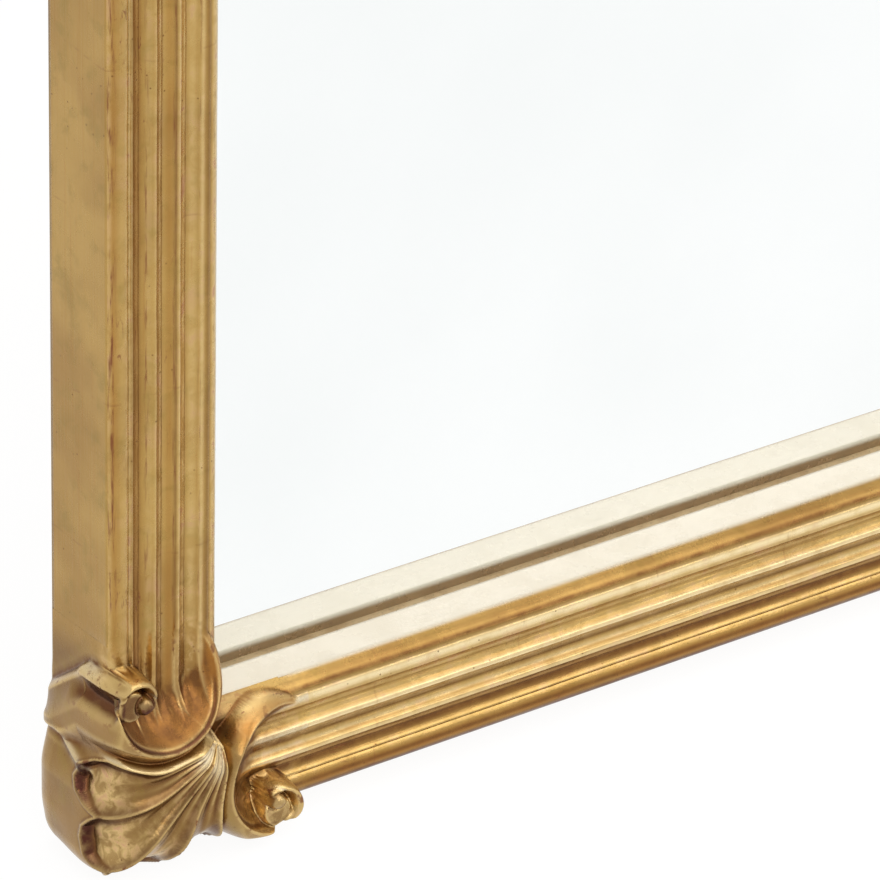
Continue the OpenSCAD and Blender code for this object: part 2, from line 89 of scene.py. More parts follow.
def flute(a, mid):
    return FLUTE_R - FLUTE_DEEP - arc_height(a - mid, FLUTE_R)


def sight(a):
    return arc_height(np.clip(a - SIGHT, 0, None), SIGHT_R) - SIGHT_R


def reeds(a):
    a = np.asarray(a, float)
    w = np.zeros(a.shape)
    for mid in FLUTES:
        w = np.where(np.abs(a - mid) < FLUTE_HALF, flute(a, mid), w)
    for mid in FILLETS:
        t = np.clip((a - mid) / FILLET_HALF, -1, 1)
        w = w + FILLET_HIGH * (1 - t * t) ** 2
    w = np.where(a < BEAD_END, bead(a), w)
    w = np.where(a > SIGHT, sight(a), w)
    for mid, deep, wide in GROOVES:
        w = w - deep * bell(a - mid, wide)
    return w


# ---- carved corner: u and v are distances from the outer corner along the two members
# the C scroll's rim is an arc: its middle, radius, first angle and sweep in degrees
C_MID, C_R, C_FROM, C_SWEEP = (24.0, 84.0), 29.3, 38.0, 230.0
# evenly along its sweep: the rim's height, and how far it slopes down on its inner and outer side
C_H = [0.0, 2.2, 4.6, 7.4, 10.6, 13.8, 16.2, 17.2, 17.4, 17.2, 17.2, 17.2, 17.0, 16.6, 15.6, 14.6]
C_IN = [2.5, 5.0, 10.0, 15.0, 18.0, 21.0, 24.0, 25.0, 25.0, 24.0, 22.0, 20.0, 18.0, 16.0, 14.0, 12.0]
C_OUT = [2.5, 3.5, 4.5, 5.5, 6.5, 7.0, 7.0, 7.0, 8.0, 9.0, 10.0, 10.5, 10.5, 9.5, 7.5, 6.0]
# the volute at the scroll's end is an arc too, with a rolled band, a filling and an eye
V_MID, V_R, V_FROM, V_SWEEP = (5.3, 84.0), 9.8, 150.0, 178.0
V_H = [14.4, 15.2, 15.6, 15.4, 14.8, 14.0, 13.4]
V_IN, V_OUT = 3.4, 2.7
FILL_MID, FILL_H, FILL_FROM, FILL_TO = (3.4, 82.4), 12.4, 10.8, 6.6
EYE, EYE_R, EYE_H = (10.6, 81.6), 4.8, 16.2
# where the volute turns back into the member's side
TURN_FROM, TURN_R = 84.4, 12.1
# the shell spreads from a focus on the mitre; its first two lobes end at these angles from the mitre
FOCUS = 53.0
LOBE_1, LOBE_2 = 16.0, 35.5
SHELL_LOW, SHELL_H, SHELL_SUNK, SHELL_END = 8.0, 18.6, -9.0, 95.0
# the front rolls over to the sides: radius of the arris on the mitre, the height where the roll ends,
# and how full its curve is, where 2 would be a circle
CORNER_R = 14.0
SHOULDER = -15.0
BEND = 2.5
ROUND_FROM = 35.0   # the sides are rounded off from this depth to the back


def arc_field(u, v, mid, r, start, sweep, *tables):
    """Distance inside an arc, or outside it where negative, the share of its sweep, and each table there"""
    du, dv = u - mid[0], v - mid[1]
    rho = np.hypot(du, dv)
    q = np.mod(start - np.degrees(np.arctan2(dv, du)), 360.0)
    # what lies past the sweep belongs to the nearer end
    end = np.where(q < (sweep + 360) / 2, 1.0, 0.0)
    ea = np.radians(start - end * sweep)
    de = np.hypot(u - mid[0] - r * np.cos(ea), v - mid[1] - r * np.sin(ea))
    past = q > sweep
    sd = np.where(past, np.where(rho < r, de, -de), r - rho)
    t = np.where(past, end, q / sweep)
    return [sd, t] + [np.interp(t, np.linspace(0, 1, len(x)), x) for x in tables]


def scroll(u, v):
    """Height of the C scroll and its volute, over the moulding that they lie on"""
    cove = sight(np.clip(u, SIGHT, FACE))
    base = lerp(np.minimum(-0.6, cove), reeds(np.clip(u, 0, FACE)), smooth(v, 60, 78))
    sd, t, h, wi, wo = arc_field(u, v, C_MID, C_R, C_FROM, C_SWEEP, C_H, C_IN, C_OUT)
    ti, to = np.clip(sd / wi, 0, 1), np.clip(-sd / wo, 0, 1)
    rim = np.where(sd >= 0, (1 - ti) ** 2, 0.75 * np.sqrt(1 - to ** 2) + 0.25 * (1 - to))
    body = base + (h - base) * rim - 0.8 * crease(sd, t)
    sd, _, h = arc_field(u, v, V_MID, V_R, V_FROM, V_SWEEP, V_H)
    tb = np.clip(np.abs(sd) / np.where(sd > 0, V_IN, V_OUT), 0, 1)
    kb = np.sqrt(1 - tb ** 2)
    # the volute is filled, so that only a shallow groove is left round its eye
    from_fill = np.hypot(u - FILL_MID[0], v - FILL_MID[1])
    base = base + (FILL_H - base) * smooth(from_fill, FILL_FROM, FILL_TO)
    band = base + (h - base) * kb
    far = np.hypot(u - EYE[0], v - EYE[1]) / EYE_R
    ke = np.sqrt(1 - np.clip(far, 0, 1) ** 2)
    ball = base + (EYE_H - base) * ke
    high = smax(smax(np.maximum(body, base), band, 0.8 * kb), ball, 0.5 * ke)
    return high - 0.9 * bell(far - 1.1, 0.12)


def crease(sd, t):
    """The thin line cut just inside the scroll's rim"""
    at = np.interp(t, [0.2, 0.3, 0.56, 0.77, 0.95], [1.6, 0.8, 0.6, 1.3, 4.0])
    return bell(sd - at, 0.75) * smooth(t, 0.16, 0.28) * smooth(t, 0.99, 0.93)


def lobe_place(u, v):
    """Distance from the focus, angle from the mitre, and place among the lobes

    The crest on the mitre is 0 to 1, and the next lobe out is 1 to 2.
    """
    r = np.hypot(u - FOCUS, v - FOCUS)
    turn = np.abs(45 - np.degrees(np.arctan2(FOCUS - v, FOCUS - u))) / (1 + 0.28 * smooth(r, 30, 62))
    return r, turn, np.where(turn < LOBE_1, turn / LOBE_1, 1 + (turn - LOBE_1) / (LOBE_2 - LOBE_1))


def shell(u, v):
    """Height of the shell, which falls away past its lobes and behind its focus"""
    r, turn, _ = lobe_place(u, v)
    past = np.radians(np.maximum(turn - LOBE_2, 0)) * r
    h = lerp(SHELL_LOW, SHELL_H, smooth(r, -2, 17)) - 1.7 * past ** 1.35
    return lerp(SHELL_SUNK, np.maximum(h, SHELL_SUNK), smooth(2 * FOCUS - u - v, -4, 8))


def relief(u, v):
    """Height of the carving's front"""
    low = scroll(u, v)
    return np.where(np.maximum(u, v) > SHELL_END, low, smax(low, shell(u, v), 2.0))


def proud(v):
    """How far the carving stands out beside the member, at a distance v from the corner"""
    p = 10.2 - 5.2 * smooth(v, 32, 54) + 3.6 * smooth(v, 54, 66) * smooth(v, 90, 74)
    turn = arc_height(np.clip(v - TURN_FROM, 0, None), TURN_R) - V_MID[0]
    p = np.where(v < TURN_FROM, p, np.minimum(p, turn))
    return np.maximum(p, 0.03 + 0.3 * smooth(v, END, END - 8))


def roll(v):
    """Width of the rolled edge: wide on the lobes, narrow on the scroll, and almost none at the end"""
    return lerp(lerp(34.0, 5.0, smooth(v, 40, 66)), 0.2, smooth(v, 93, 97))


def height_share(x):
    """How high the rolled edge has risen, as a share of its height, at a share x of its width"""
    return (1 - np.clip(1 - x, 0, 1) ** BEND) ** (1 / BEND)


def section(length, width, n):
    """Distances from the edge of n rows spread evenly along each column, from its inner end to the edge"""
    d = length[None, :] * np.linspace(1, 0, 700)[:, None] ** 2.5
    rise = 30 * np.diff(height_share(d / width), axis=0, prepend=1)
    far = np.cumsum(np.hypot(np.diff(d, axis=0, prepend=d[:1]), rise), axis=0)
    want = 1 - (1 - np.linspace(0, 1, n)) ** 1.1
    return np.array([np.interp(want * far[-1, j], far[:, j], d[:, j]) for j in range(len(length))]).T


def box_blur(p, n):
    """Each point of a grid as the mean of the square of points around it, n to each side"""
    for axis in (0, 1):
        pad = [(0, 0)] * p.ndim
        pad[axis] = (n, n)
        c = np.cumsum(np.pad(p, pad, mode="edge"), axis=axis)
        c = np.insert(c, 0, 0, axis=axis)
        m = p.shape[axis]
        hi = np.take(c, np.arange(2 * n + 1, 2 * n + 1 + m), axis=axis)
        lo = np.take(c, np.arange(0, m), axis=axis)
        p = (hi - lo) / (2 * n + 1)
    return p


def grid_normals(p):
    n = np.cross(np.gradient(p, axis=1), np.gradient(p, axis=0))
    return n / (np.linalg.norm(n, axis=-1, keepdims=True) + 1e-9)


def lobe_ends(w, lam):
    """How far inside the lobe's rounded end, where across the lobe, how hollow it is there, and
    whether that is on one of the lobes at all"""
    f = np.mod(lam, 1)
    crest = np.interp(f, [0, 0.12, 0.3, 0.55, 0.75, 0.9, 1], [4, -2, -7, -9.5, -8, -3.5, 1])
    other = np.interp(f, [0, 0.1, 0.28, 0.48, 0.7, 0.88, 1], [1, -6, -12.5, -15.5, -13, -6, 2])
    deep = 1 - np.abs(2 * f - 1) ** 2.4
    return w - np.where(lam < 1, crest, other), f, deep, smooth(lam, 2.02, 1.96)


def leaf_place(ev, w):
    """Distance past the ridge of the leaf on the side, which slants away from the corner to the back"""
    return ev - (44.5 - 0.41 * (w + 12.7))


def ledge_place(ev, w):
    """Distance past the ledge on the scroll's side, which slants towards the corner to the back"""
    return ev - (91.5 - 14 * np.clip((-14 - w) / 34, 0, 1))


def carve(w, z, ev, r, lam):
    """How far the carving stands out from the plain dome and wrap, or lies in"""
    inside, f, deep, lobes = lobe_ends(w, lam)
    amp = 0.4 + 4.5 * smooth(r, 6, 50)
    hollow = -amp * deep * smooth(inside, 0.2, 3.2) * lobes
    ripple = (0.5 - 0.5 * np.cos(6 * np.pi * f)) * (0.3 + 0.55 * (1 - smooth(r, 16, 48)))
    folds = -ripple * lobes * smooth(r, 3, 9) * smooth(inside, -1, 5)
    lip = 0.9 * bell(inside + 0.2, 1.3) * lobes * smooth(z, 0.8, 0.5)
    ridge = leaf_place(ev, w)
    leaf = 2.2 * bell(ridge, np.where(ridge > 0, 4.6, 1.8)) * smooth(w, -36, -25) * smooth(w, -7, -13)
    step = ledge_place(ev, w)
    ledge = 2.2 * bell(step, 3.0) * smooth(w, -26, -12) * smooth(z, 0.9, 0.5)
    under = -4.6 * bell(step + 9.0, 4.4) * smooth(w, -26, -8) * smooth(w, 15, 9) * smooth(z, 0.99, 0.86)
    return hollow + folds + lip + leaf * smooth(z, 0.8, 0.5) + ledge + under


def corner_grid(na, nf, nc):
    """Points and tones of one carving, in 2 na + 1 columns: nf rows on its front and nc - 1 on its sides

    A column starts on the sight edge and crosses the front to the outer edge, then runs down to the back.
    """
    at = np.linspace(-1, 1, 2 * na + 1)
    # the outer edge goes round the arris on the mitre, and then along the member
    p0 = float(proud(np.float64(0.0)))
    mid, arc = CORNER_R - p0, CORNER_R * np.pi / 4
    ell = np.abs(at) * (arc + END - mid)
    lean = np.pi / 4 - np.clip(ell / CORNER_R, 0, np.pi / 4)
    nu, nv = -np.cos(lean), -np.sin(lean)
    ev = np.where(ell < arc, mid - CORNER_R * np.sin(lean), mid + ell - arc)
    eu = np.where(ell < arc, mid - CORNER_R * np.cos(lean), -proud(ev))
    # the columns fan out from the inner corner, and cross the member squarely from the scroll's middle on
    e0 = ev.min()
    sv = ev + (FACE - e0) * (1 - np.clip((ev - e0) / (C_MID[1] - e0), 0, 1)) ** 1.3
    length = np.hypot(eu - FACE, ev - sv)
    rr = np.minimum(roll(ev), length * 0.6)
    ou, ov = (eu - FACE) / length, (ev - sv) / length
    rows, zs = [], []
    for d in section(length, rr, nf):
        z = height_share(d / rr)
        u, v = FACE + ou * (length - d), sv + ov * (length - d)
        rows.append(np.stack([u, v, SHOULDER + (relief(u, v) - SHOULDER) * z], -1))
        zs.append(z)
    for i in range(1, nc):
        w = SHOULDER + (-DEEP - SHOULDER) * i / (nc - 1)
        # the wrap's upper end slants down towards the back
        out = proud(ev + 24 * smooth(ev, 46, 60) * i / (nc - 1))
        rows.append(np.stack([np.where(ell < arc, eu, -out), ev, np.full_like(eu, w)], -1))
        zs.append(np.zeros_like(eu))
    p, z = np.array(rows), np.array(zs)
    # the back edge is rounded off, more where the carving stands out more
    out = np.where(ell < arc, p0, -p[..., 0])
    back = np.clip((-ROUND_FROM - p[..., 2]) / (DEEP - ROUND_FROM), 0, 1)
    taper = np.interp(out, [0.3, 5, 7, 9.3, 10.5], [0, 3.2, 4.5, 5.6, 6.0]) * (1 - np.sqrt(1 - back ** 2))
    taper = -taper - 2.0 * smooth(ell, 24, 6) * smooth(p[..., 2], -12, -40)
    p[..., 0] += nu * taper
    p[..., 1] += nv * taper
    n = grid_normals(p)
    out = np.stack([nu + 0 * z, nv + 0 * z, np.ones_like(z)], -1)
    n *= np.sign((n * out).sum(-1, keepdims=True))
    # on the sides the lobes run straight down from the edge
    r, _, lam = lobe_place(p[..., 0], p[..., 1])
    edge = nf - 1
    r[edge:], lam[edge:] = r[edge], lam[edge]
    paint = paint_of(p, z, ev, r, lam)
    p += n * carve(p[..., 2], z, ev, r, lam)[..., None]
    # the flat back edge, and a wall from it forward to the seat inside the moulding
    inner = np.stack([np.where(eu < 0, 0.0, eu), np.maximum(ev, 0.0), np.full_like(eu, -DEEP)], -1)
    seat = inner.copy()
    seat[..., 2] = SEAT
    p = np.concatenate([p, inner[None], seat[None]])
    # the rail half is the stile half's mirror image
    q = p.copy()
    side = at < 0
    q[:, side, 0], q[:, side, 1] = p[:, side, 1], p[:, side, 0]
    return q, {key: np.concatenate([val, val[-1:], val[-1:]]) for key, val in paint.items()}


def paint_of(p, z, ev, r, lam):
    """Where the gilding is warmer, where painted highlights make it paler or brighter, and where painted
    shade or the rubbed dark ground makes it darker
    """
    u, v, w = p[..., 0], p[..., 1], p[..., 2]
    on_top = smooth(z, 0.3, 0.75)
    on_side = 1 - on_top
    inside, f, deep, lobes = lobe_ends(w, lam)
    sd, t = arc_field(u, v, C_MID, C_R, C_FROM, C_SWEEP)
    step = ledge_place(ev, w)
    far = np.hypot(u - EYE[0], v - EYE[1])
    # painted shade below the ledge, in a glaze colour, and warm gold in the scroll's bowl and along its arm
    under = bell(step + 9.0, 4.6) * smooth(w, -30, -8) * smooth(w, 16, 10) * smooth(z, 0.99, 0.86)
    bowl = smooth(sd, 0.5, 5) * smooth(v, 104, 84) * smooth(u, 4, 16) * on_top
    arm = smooth(np.abs(sd), 7, 3) * smooth(t, 0.45, 0.3) * smooth(v, END, END - 9) * on_top
    # painted shade inside the lobes' ends (with some dark ground on their rims), on the walls between them,
    # in their valleys and folds, in the gulf at the inner corner, and round the volute's eye, along the
    # rim's crease and below the ledge
    end = 1.4 * bell(inside - 1.4, 1.3) * lobes * (0.5 + 0.5 * smooth(f, 0.08, 0.3))
    wall = 0.7 * bell(f - 0.9, 0.09) * smooth(lam, 0.1, 1.2) * smooth(r, 34, 50) * smooth(inside, 0, 3)
    valley = 0.5 * bell(f - 0.06, 0.06) * smooth(r, 12, 26) * smooth(inside, 0, 3)
    fold = 0.5 * bell(np.mod(3 * f, 1) - 0.5, 0.13)
    fold = fold * smooth(r, 6, 12) * smooth(r, 50, 30) * smooth(inside, 2, 6)
    gulf = 0.9 * bell(np.hypot(u - 54.5, v - 56.0), 4.6)
    eye = 0.8 * smooth(far, 5.2, 3.6) * smooth(v - u, 76, 68)
    eye = eye + 0.55 * smooth(np.hypot(u - 4, v - 82), 8, 5) * on_top
    dark = np.maximum(end, np.maximum(wall, np.maximum(valley, fold)) * lobes)
    dark = dark + 0.85 * crease(sd, t) * on_top + gulf + eye + 0.6 * under
    # pale in the lobes' hollows, partly their own paler tone and partly painted highlight; painted highlight
    # round the focus, on the ledge and beside the outermost lobe
    pale = 1.4 * smooth(inside, 3.0, 6.5) * smooth(inside, 30, 14) * lobes * deep
    pale = pale + 0.8 * bell(r - 13, 6.0) * smooth(FOCUS - v, -2, 3) * on_top
    pale = pale + 1.2 * bell(step - 1.0, 2.8) * smooth(w, -24, -10) * on_side
    pale = pale + 0.7 * bell(lam - 2.04, 0.07) * smooth(r, 10, 20) * smooth(w, -6, 4)
    # painted highlight, bright on the leaf's ridge and the ledge, beside the outermost lobe, round the focus
    # and on the eye
    shine = 1.1 * bell(leaf_place(ev, w) + 0.7, 2.4) * smooth(w, -34, -28) * smooth(w, -8, -13) * on_side
    shine = shine + 1.0 * bell(step - 2.0, 2.6) * smooth(w, -20, -12) * smooth(w, 6, -2) * on_side
    shine = shine + 0.6 * bell(lam - 2.06, 0.05) * smooth(r, 14, 26) * smooth(w, -4, 6)
    ring = 1.3 * bell(r - 12, 6.5) * smooth(FOCUS - v, 0, 4)
    shine = shine + ring * smooth(lam, 2.0, 1.6) * smooth(lam, 0.1, 0.6)
    rim = 0.8 * smooth(far, 6.4, 5.4) * smooth(far, 4.4, 5.0)
    shine = shine + rim * smooth(u - EYE[0], 0, 3) * smooth(v, 80, 84) * on_top
    paint = {"shine": shine, "warm": np.maximum(bowl, arm), "dark": dark, "pale": pale}
    paint = {key: np.clip(val, 0, 1) for key, val in paint.items()}
    # painted shade below the ledge and in the scroll's bowl
    return {**paint, "under": np.maximum(0.95 * under, 0.85 * bowl), "top": on_top}


def new_object(name, verts, faces, attrs=None, material=None, uvs=None):
    """A smooth mesh in metres, with a number at each point for every attribute"""
    mesh = bpy.data.meshes.new(name)
    mesh.vertices.add(len(verts))
    mesh.vertices.foreach_set("co", np.asarray(verts, np.float32).ravel())
    faces = np.asarray(faces, np.int32)
    k = faces.shape[1]
    mesh.loops.add(faces.size)
    mesh.loops.foreach_set("vertex_index", faces.ravel())
    mesh.polygons.add(len(faces))
    mesh.polygons.foreach_set("loop_start", np.arange(0, faces.size, k, dtype=np.int32))
    mesh.update(calc_edges=True)
    mesh.validate()
    for key, values in (attrs or {}).items():
        at = mesh.attributes.new(key, "FLOAT", "POINT")
        at.data.foreach_set("value", np.asarray(values, np.float32).ravel())
    if uvs is not None:
        layer = mesh.uv_layers.new(name="along")
        layer.data.foreach_set("uv", np.asarray(uvs, np.float32)[faces.ravel()].ravel())
    mesh.polygons.foreach_set("use_smooth", np.ones(len(mesh.polygons), bool))
    obj = bpy.data.objects.new(name, mesh)
    bpy.context.scene.collection.objects.link(obj)
    if material:
        mesh.materials.append(material)
    return obj


def grid_faces(m, n, flip=False):
    i, j = np.meshgrid(np.arange(m - 1), np.arange(n - 1), indexing="ij")
    a = (i * n + j).ravel()
    f = np.stack([a, a + 1, a + n + 1, a + n], -1)
    return f[:, ::-1] if flip else f


# ---- node materials
def material(name):
    m = bpy.data.materials.new(name)
    m.use_nodes = True
    m.node_tree.nodes.clear()
    return m, m.node_tree


class Net:
    """Short names for making and joining shader nodes"""

    def __init__(self, tree):
        self.t = tree

    def node(self, kind, **props):
        n = self.t.nodes.new(kind)
        for k, v in props.items():
            setattr(n, k, v)
        return n

    def put(self, socket, value):
        if hasattr(value, "is_output"):
            self.t.links.new(value, socket)
        else:
            socket.default_value = value

    def coords(self, scale=(1, 1, 1), uv=False):
        tc = self.node("ShaderNodeTexCoord")
        mp = self.node("ShaderNodeMapping")
        self.put(mp.inputs["Vector"], tc.outputs["UV" if uv else "Object"])
        mp.inputs["Scale"].default_value = scale
        return mp.outputs["Vector"]

    def noise(self, vec, scale, detail=4.0, rough=0.5, distort=0.0):
        n = self.node("ShaderNodeTexNoise")
        self.put(n.inputs["Vector"], vec)
        n.inputs["Scale"].default_value = scale
        n.inputs["Detail"].default_value = detail
        n.inputs["Roughness"].default_value = rough
        n.inputs["Distortion"].default_value = distort
        return n.outputs["Fac"]

    def voronoi(self, vec, scale):
        n = self.node("ShaderNodeTexVoronoi")
        self.put(n.inputs["Vector"], vec)
        n.inputs["Scale"].default_value = scale
        return n.outputs["Distance"]

    def ramp(self, value, lo, hi, a=0.0, b=1.0):
        n = self.node("ShaderNodeMapRange", interpolation_type="SMOOTHSTEP")
        self.put(n.inputs["Value"], value)
        n.inputs["From Min"].default_value = lo
        n.inputs["From Max"].default_value = hi
        n.inputs["To Min"].default_value = a
        n.inputs["To Max"].default_value = b
        return n.outputs["Result"]

    def math(self, op, a, b=0.0, clamp=False):
        n = self.node("ShaderNodeMath", operation=op, use_clamp=clamp)
        self.put(n.inputs[0], a)
        self.put(n.inputs[1], b)
        return n.outputs[0]

    def mix(self, fac, a, b):
        n = self.node("ShaderNodeMix", data_type="RGBA")
        self.put(n.inputs["Factor"], fac)
        for key, value in (("A", a), ("B", b)):
            socket = [s for s in n.inputs if s.name == key and s.type == "RGBA"][0]
            self.put(socket, value if hasattr(value, "is_output") else (*value, 1.0))
        return [s for s in n.outputs if s.type == "RGBA"][0]

    def attr(self, name):
        return self.node("ShaderNodeAttribute", attribute_name=name).outputs["Fac"]

    def patchy(self, name, pattern, lo, hi, a=0.0, b=1.0):
        """An attribute, broken up by a pattern"""
        return self.math("MULTIPLY", self.attr(name), self.ramp(pattern, lo, hi, a, b), clamp=True)

    def bump(self, height, strength, distance):
        n = self.node("ShaderNodeBump")
        self.put(n.inputs["Height"], height)
        n.inputs["Strength"].default_value = strength
        n.inputs["Distance"].default_value = distance
        return n.outputs["Normal"]

    def principled(self, **values):
        b = self.node("ShaderNodeBsdfPrincipled")
        for k, v in values.items():
            self.put(b.inputs[k.replace("_", " ")], v)
        o = self.node("ShaderNodeOutputMaterial")
        self.t.links.new(b.outputs[0], o.inputs["Surface"])

    def shader(self, kind, colour, strength=None):
        n = self.node(kind)
        n.inputs["Color"].default_value = (*colour, 1)
        if strength is not None:
            n.inputs["Strength"].default_value = strength
        return n


def lin(r, g, b):
    """sRGB numbers from 0 to 255 as linear colour"""
    shares = (r / 255, g / 255, b / 255)
    return tuple(c / 12.92 if c <= 0.04045 else ((c + 0.055) / 1.055) ** 2.4 for c in shares)


GOLD, GOLD_DULL = lin(187, 151, 84), lin(168, 131, 70)
DEEP_GOLD, DEEP_GOLD_DULL = lin(160, 124, 74), lin(136, 103, 58)
# the pale gold colours painted highlights, the glaze brown colours painted shade and specks of dirt, and the
# dark brown painted shade in the carving's creases
OLIVE, ORANGE, ROSE, PALE_HIGHLIGHT = lin(150, 124, 60), lin(166, 110, 46), lin(200, 154, 118), lin(222, 191, 128)
BOLE, SHADE_AND_GLAZE, CREAM, DARK = lin(122, 66, 44), lin(112, 73, 36), lin(238, 227, 204), lin(80, 42, 30)
# how the two gildings differ: the colour of the painted highlight and how much of its metal it takes away,
# the scale of the pale patches, and the ranges of the patterns that break up the painted pale highlight, the
# painted shade in the hollows and the rubbed crests
MOULDING_LOOK = {"shine_colour": lin(252, 230, 180), "shine_unmetal": 0.2, "patch": 95.0,
                 "pale": (0.3, 0.62, 0.35, 1.0), "hollow_shade": (0.25, 0.75, 0.72, 1.0), "rub": (0.48, 0.66)}
CARVING_LOOK = {"shine_colour": lin(254, 238, 200), "shine_unmetal": 0.7, "patch": 170.0,
                "pale": (0.4, 0.62, 0.2, 1.0), "hollow_shade": (0.25, 0.75, 0.5, 1.1), "rub": (0.56, 0.66)}


def gilt(name, carved):
    """Gold leaf over red bole: laps, rubbed crests, painted shade in the hollows, painted highlights, fine
    scratches and specks
    """
    m, tree = material(name)
    k = Net(tree)
    look = CARVING_LOOK if carved else MOULDING_LOOK
    obj = k.coords()
    uv = k.coords(uv=True)
    big = k.noise(obj, 14.0, 3.0, 0.55)
    mid = k.noise(obj, 75.0, 5.0, 0.6, 0.4)
    fine = k.noise(obj, 700.0, 3.0, 0.6)
    colour = k.mix(k.ramp(big, 0.36, 0.64), GOLD, GOLD_DULL)
    if carved:
        streak = k.noise(obj, 210.0, 4.0, 0.65, 0.8)
        broken = k.noise(obj, 190.0, 4.0, 0.65)
        deep = k.mix(k.ramp(big, 0.36, 0.64), DEEP_GOLD, DEEP_GOLD_DULL)
        colour = k.mix(k.attr("plain"), deep, colour)
    else:
        # on the moulding, streaks and broken lines run along it
        streak = k.noise(k.coords((9.0, 620.0, 1.0), uv=True), 1.0, 4.0, 0.6)
        broken = k.noise(k.coords((50.0, 700.0, 1.0), uv=True), 1.0, 4.0, 0.65)
    colour = k.mix(k.ramp(mid, 0.48, 0.72, 0.0, 0.5), colour, OLIVE)
    if not carved:
        colour = k.mix(k.patchy("run", streak, 0.5, 0.78, 0.0, 0.4), colour, ORANGE)
    # bands and hollows of warmer gold, and of paler and brighter gold that is painted highlight
    colour = k.mix(k.patchy("warm", k.noise(obj, 60.0, 4.0, 0.6), 0.2, 0.7, 0.5, 0.95), colour, ORANGE)
    patch = k.noise(obj, look["patch"], 4.0, 0.62, 0.6)
    colour = k.mix(k.patchy("pale", patch, *look["pale"]), colour, PALE_HIGHLIGHT)
    colour = k.mix(k.patchy("pale", patch, 0.5, 0.68, 0.0, 0.8), colour, ROSE)
    shine = k.patchy("shine", k.noise(obj, 130.0, 4.0, 0.6), 0.25, 0.6, 0.55, 1.0)
    colour = k.mix(shine, colour, look["shine_colour"])
    # painted shade in the hollows, in the colour of a glaze
    colour = k.mix(k.patchy("crev", k.noise(obj, 160.0, 4.0, 0.6), *look["hollow_shade"]), colour, SHADE_AND_GLAZE)
    # painted highlight on the carving's crests; bole where the leaf is rubbed off the crests, in broken
    # lines; and the dark outlines of the carving, painted shade in its creases and hollows with some dark
    # ground
    if carved:
        colour = k.mix(k.math("MULTIPLY", k.attr("crest"), 0.75), colour, PALE_HIGHLIGHT)
    colour = k.mix(k.patchy("crest", broken, *look["rub"]), colour, BOLE)
    colour = k.mix(k.patchy("dark", broken, 0.3, 0.6, 0.7, 1.0), colour, DARK)
    if not carved:
        colour = laps_and_nicks(k, obj, uv, colour)
    speck = k.ramp(k.voronoi(obj, 210.0), 0.13, 0.05)
    speck = k.math("MULTIPLY", speck, k.ramp(k.noise(obj, 30.0, 2.0), 0.5, 0.6))
    colour = k.mix(k.math("MULTIPLY", speck, 0.8), colour, SHADE_AND_GLAZE)
    colour = k.mix(k.attr("cream"), colour, CREAM)
    # painted shade in the rebate, in the glaze colour
    colour = k.mix(k.attr("shade"), colour, SHADE_AND_GLAZE)
    rough = k.ramp(k.noise(obj, 45.0, 5.0, 0.6), 0.3, 0.7, 0.2, 0.34)
    height = k.math("ADD", k.math("MULTIPLY", fine, 0.4), k.math("MULTIPLY", mid, 1.0))
    height = k.math("ADD", height, k.math("MULTIPLY", streak, 0.6))
    # the cream paint is no metal, and the painted highlight is less of one
    shine_unmetal = k.math("MULTIPLY", k.attr("shine"), look["shine_unmetal"])
    metal = k.ramp(k.math("ADD", k.attr("cream"), shine_unmetal, clamp=True), 0.0, 1.0, 0.9, 0.0)
    k.principled(Base_Color=colour, Metallic=metal, Roughness=rough, Normal=k.bump(height, 0.4, 0.0005),
                 Coat_Weight=0.05, Coat_Roughness=0.2)
    return m


def laps_and_nicks(k, obj, uv, colour):
    """Bole that shows at the laps between the leaves of gold, and in short nicks along the reeds"""
    split = k.node("ShaderNodeSeparateXYZ")
    k.put(split.inputs[0], uv)
    wander = k.math("MULTIPLY", k.noise(uv, 9.0, 2.0), 0.35)
    lap = k.math("FRACT", k.math("ADD", k.math("MULTIPLY", split.outputs["X"], 12.5), wander))
    line = k.math("MULTIPLY", k.ramp(lap, 0.0, 0.02, 1.0, 0.0), k.ramp(k.noise(obj, 120.0, 3.0), 0.45, 0.62))
    colour = k.mix(k.math("MULTIPLY", line, 0.25), colour, BOLE)
    nick = k.noise(k.coords((75.0, 260.0, 1.0), uv=True), 1.0, 4.0, 0.6, 1.6)
    nick = k.math("MULTIPLY", k.ramp(nick, 0.60, 0.66), k.ramp(k.noise(uv, 14.0, 2.0), 0.46, 0.56))
    return k.mix(k.math("MULTIPLY", k.math("MULTIPLY", nick, k.attr("wear")), 0.85), colour, BOLE)


def plain_metal(name, a, b, rough):
    m, tree = material(name)
    k = Net(tree)
    obj = k.coords()
    spots = k.ramp(k.noise(obj, 90.0, 5.0, 0.65), 0.4, 0.68)
    scratch = k.noise(k.coords((40.0, 40.0, 900.0)), 1.0, 4.0, 0.6)
    k.principled(Base_Color=k.mix(spots, lin(*a), lin(*b)), Metallic=1.0,
                 Roughness=k.ramp(scratch, 0.3, 0.75, rough - 0.07, rough + 0.12),
                 Normal=k.bump(k.noise(obj, 300.0, 4.0, 0.6), 0.25, 0.0002))
    return m


